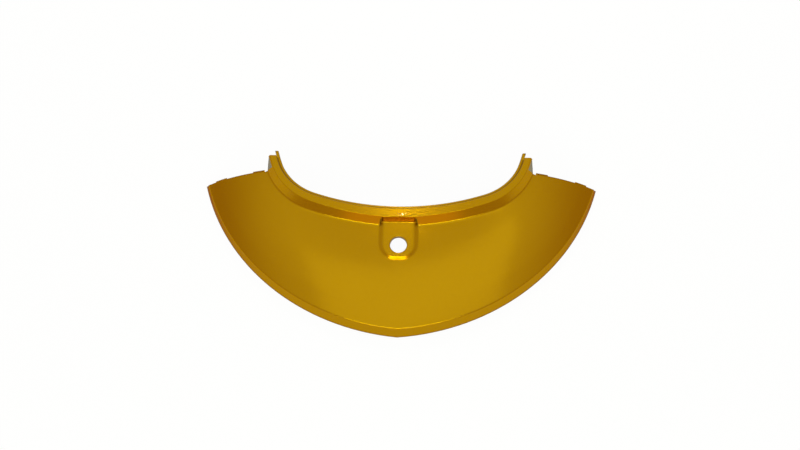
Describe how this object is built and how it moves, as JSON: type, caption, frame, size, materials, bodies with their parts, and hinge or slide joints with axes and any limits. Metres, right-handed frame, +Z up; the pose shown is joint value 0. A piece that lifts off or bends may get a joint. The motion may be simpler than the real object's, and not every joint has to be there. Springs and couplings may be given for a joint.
{
  "type": "rear side panel trim",
  "caption": "Crescent moulded tail trim of a scooter: wraps the seat's tail with a stepped rim, has a sunk pocket with a lock hole and a turned-down outer edge.",
  "frame": {"origin": "middle of the rectangle that the part covers, on the plane its lower edge lies on", "axes": "+X to the right-hand end, +Y towards the open side of the seat notch, +Z up"},
  "size_m": [0.417, 0.1844, 0.056],
  "materials": {
    "gold_paint": "gold metallic paint under clear coat outside, bare light grey plastic inside"
  },
  "bodies": {
    "root": {"rear_panel_trim": "gold_paint"}
  },
  "joints": []
}
